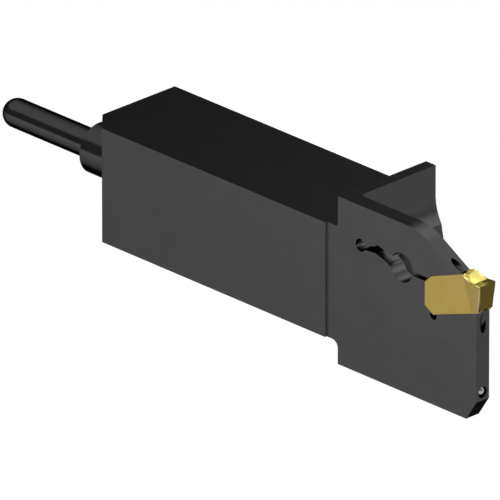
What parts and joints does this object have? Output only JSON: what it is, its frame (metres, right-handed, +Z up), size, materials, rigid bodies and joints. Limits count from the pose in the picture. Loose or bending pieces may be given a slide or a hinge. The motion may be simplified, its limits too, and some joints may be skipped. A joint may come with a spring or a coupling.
{
  "type": "parting blade holder",
  "caption": "Square shank with a thin reinforced blade whose sprung jaw grips a tilted cutting insert, fed with coolant through a plug-in tube at the rear.",
  "frame": {"origin": "centre of the shank's lower seat face", "axes": "+X along the shank to the cutting edge, +Y away from the blade's flush side, +Z up from the seat face"},
  "size_m": [0.0948, 0.016, 0.0234],
  "materials": {
    "holder_steel": "ground, blackened tool steel",
    "coated_carbide": "gold nitride coat on sintered carbide",
    "tube_steel": "turned and blackened",
    "seal_rubber": "smooth",
    "plug_steel": "polished ball"
  },
  "bodies": {
    "root": {"holder_body": "holder_steel", "cutting_insert": "coated_carbide", "coolant_tube": "tube_steel", "tube_seal": "seal_rubber", "feed_plug": "plug_steel", "riser_plug": "plug_steel", "side_plug": "plug_steel"}
  },
  "joints": []
}
